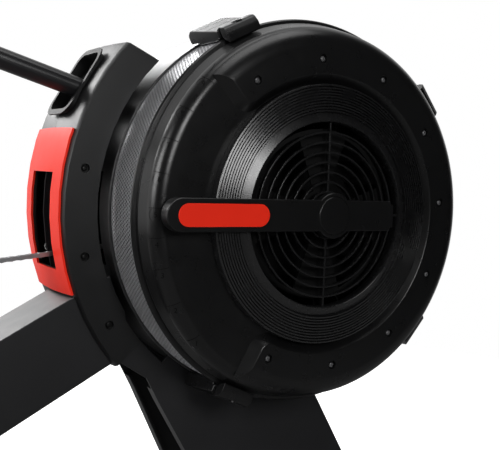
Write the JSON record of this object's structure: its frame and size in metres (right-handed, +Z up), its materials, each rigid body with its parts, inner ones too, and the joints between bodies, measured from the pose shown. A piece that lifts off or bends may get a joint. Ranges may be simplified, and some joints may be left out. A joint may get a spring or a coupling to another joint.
{
  "type": "rowing machine",
  "caption": "Air-resistance rowing machine: caged fan drum with damper lever, sloping frame, long rail with rolling seat, strapped foot plates, chain handle and monitor on a tilting arm.",
  "frame": {"origin": "on the floor, under the middle of the machine's length and width", "axes": "+X along the rail from the rower towards the fan drum, +Y to the rower's left, +Z up"},
  "size_m": [2.3716, 0.6, 1.1278],
  "materials": {
    "gloss_black": "satin to soft gloss, moulded",
    "matte_black": "fine texture, moulded",
    "charcoal": "matt, moulded",
    "frame_paint": "dark grey powder coat",
    "red_plastic": "satin, moulded",
    "mesh_steel": "fine perforated sheet, silver grey",
    "steel": "turned or plated steel",
    "rail_metal": "anodised with a polished running face",
    "black_rubber": "matt",
    "webbing": "woven strap",
    "seat_foam": "moulded foam skin, matt",
    "screen_glass": "dark liquid-crystal window",
    "key_plastic": "matt key cap"
  },
  "bodies": {
    "frame": {"front_leg": "frame_paint", "main_beam": "frame_paint", "seat_rail": "rail_metal", "rail_end_cap": "black_rubber", "housing_near_shell": "charcoal", "housing_far_shell": "charcoal", "housing_panel": "red_plastic", "arm_slot_collar": "charcoal", "fan_case": "matte_black", "far_cover": "gloss_black", "near_cover": "gloss_black", "mesh_band": "mesh_steel", "cover_latch_1": "gloss_black", "cover_latch_2": "gloss_black", "cover_latch_3": "gloss_black", "cover_latch_4": "gloss_black", "vent_grille": "gloss_black", "near_bearing": "steel", "far_bearing": "steel", "front_foot": "frame_paint", "rear_leg": "frame_paint", "rear_foot": "frame_paint", "front_foot_cap_left": "black_rubber", "front_foot_cap_right": "black_rubber", "rear_foot_cap_left": "black_rubber", "rear_foot_cap_right": "black_rubber", "foot_plate_left": "matte_black", "foot_plate_right": "matte_black", "foot_strap_left": "webbing", "foot_strap_right": "webbing", "footrest_frame": "frame_paint", "handle_rest": "frame_paint", "arm_pivot_pin": "steel"},
    "damper": {"damper_shutter": "matte_black", "damper_lever": "gloss_black", "lever_insert": "red_plastic", "lever_hub_cap": "gloss_black"},
    "fan": {"fan_wheel": "matte_black", "fan_axle": "steel"},
    "chain_sprocket": {"sprocket": "steel"},
    "handle": {"handle_bar": "steel", "handle_grip_left": "black_rubber", "handle_grip_right": "black_rubber", "pull_chain": "steel"},
    "seat": {"seat_carriage": "frame_paint", "seat_pad": "seat_foam"},
    "front_rollers": {"front_seat_rollers": "matte_black"},
    "rear_rollers": {"rear_seat_rollers": "matte_black"},
    "left_transport_wheel": {"transport_wheel_left": "black_rubber"},
    "right_transport_wheel": {"transport_wheel_right": "black_rubber"},
    "left_heel_cup": {"heel_cup_left": "matte_black"},
    "right_heel_cup": {"heel_cup_right": "matte_black"},
    "arm": {"monitor_arm": "matte_black", "monitor_hinge_pin": "steel"},
    "monitor": {"monitor_housing": "matte_black", "monitor_screen": "screen_glass"},
    "button_1": {"monitor_button_1": "key_plastic"},
    "button_2": {"monitor_button_2": "key_plastic"},
    "button_3": {"monitor_button_3": "key_plastic"},
    "button_4": {"monitor_button_4": "key_plastic"}
  },
  "joints": [
    {"name": "damper_turn", "type": "hinge", "parent": "frame", "child": "damper", "pos_m": [0.91682, 0, 0.64], "axis": [0, -1, 0], "range_deg": [-38, 52]},
    {"name": "fan_spin", "type": "hinge", "parent": "frame", "child": "fan", "pos_m": [0.91682, 0, 0.64], "axis": [0, 1, 0], "continuous": true},
    {"name": "handle_pull", "type": "slide", "parent": "frame", "child": "handle", "axis": [-0.9945, 0, 0.1045], "range_m": [0, 1.15], "stiffness_N_per_m": 20, "springref_m": -0.3, "deforming": ["pull_chain"]},
    {"name": "sprocket_spin", "type": "hinge", "parent": "frame", "child": "chain_sprocket", "pos_m": [0.91682, 0, 0.64], "axis": [0, 1, 0], "continuous": true},
    {"name": "seat_slide", "type": "slide", "parent": "frame", "child": "seat", "axis": [1, 0, 0], "range_m": [-0.77, 0.32]},
    {"name": "front_rollers_turn", "type": "hinge", "parent": "seat", "child": "front_rollers", "pos_m": [-0.22318, 0, 0.4173], "axis": [0, 1, 0], "continuous": true},
    {"name": "rear_rollers_turn", "type": "hinge", "parent": "seat", "child": "rear_rollers", "pos_m": [-0.34318, 0, 0.4173], "axis": [0, 1, 0], "continuous": true},
    {"name": "left_wheel_turn", "type": "hinge", "parent": "frame", "child": "left_transport_wheel", "pos_m": [1.11182, 0.21, 0.033], "axis": [0, 1, 0], "continuous": true},
    {"name": "right_wheel_turn", "type": "hinge", "parent": "frame", "child": "right_transport_wheel", "pos_m": [1.11182, -0.21, 0.033], "axis": [0, 1, 0], "continuous": true},
    {"name": "left_heel_adjust", "type": "slide", "parent": "frame", "child": "left_heel_cup", "axis": [0.766, 0, 0.6428], "range_m": [-0.03, 0.03]},
    {"name": "right_heel_adjust", "type": "slide", "parent": "frame", "child": "right_heel_cup", "axis": [0.766, 0, 0.6428], "range_m": [-0.03, 0.03]},
    {"name": "arm_tilt", "type": "hinge", "parent": "frame", "child": "arm", "pos_m": [0.66801, 0, 0.80035], "axis": [0, 1, 0], "range_deg": [-15, 35]},
    {"name": "monitor_tilt", "type": "hinge", "parent": "arm", "child": "monitor", "pos_m": [0.16966, 0, 0.96228], "axis": [0, 1, 0], "range_deg": [-25, 28]},
    {"name": "button_1_press", "type": "slide", "parent": "monitor", "child": "button_1", "axis": [0.9781, 0, -0.2079], "range_m": [0, 0.0015], "stiffness_N_per_m": 600, "springref_m": -0.0008},
    {"name": "button_2_press", "type": "slide", "parent": "monitor", "child": "button_2", "axis": [0.9781, 0, -0.2079], "range_m": [0, 0.0015], "stiffness_N_per_m": 600, "springref_m": -0.0008},
    {"name": "button_3_press", "type": "slide", "parent": "monitor", "child": "button_3", "axis": [0.9781, 0, -0.2079], "range_m": [0, 0.0015], "stiffness_N_per_m": 600, "springref_m": -0.0008},
    {"name": "button_4_press", "type": "slide", "parent": "monitor", "child": "button_4", "axis": [0.9781, 0, -0.2079], "range_m": [0, 0.0015], "stiffness_N_per_m": 600, "springref_m": -0.0008}
  ],
  "couplings": [
    {"joint": "sprocket_spin", "follows": "handle_pull", "rad_per_m": 35.04},
    {"joint": "front_rollers_turn", "follows": "seat_slide", "rad_per_m": 58.82},
    {"joint": "rear_rollers_turn", "follows": "seat_slide", "rad_per_m": 58.82}
  ]
}
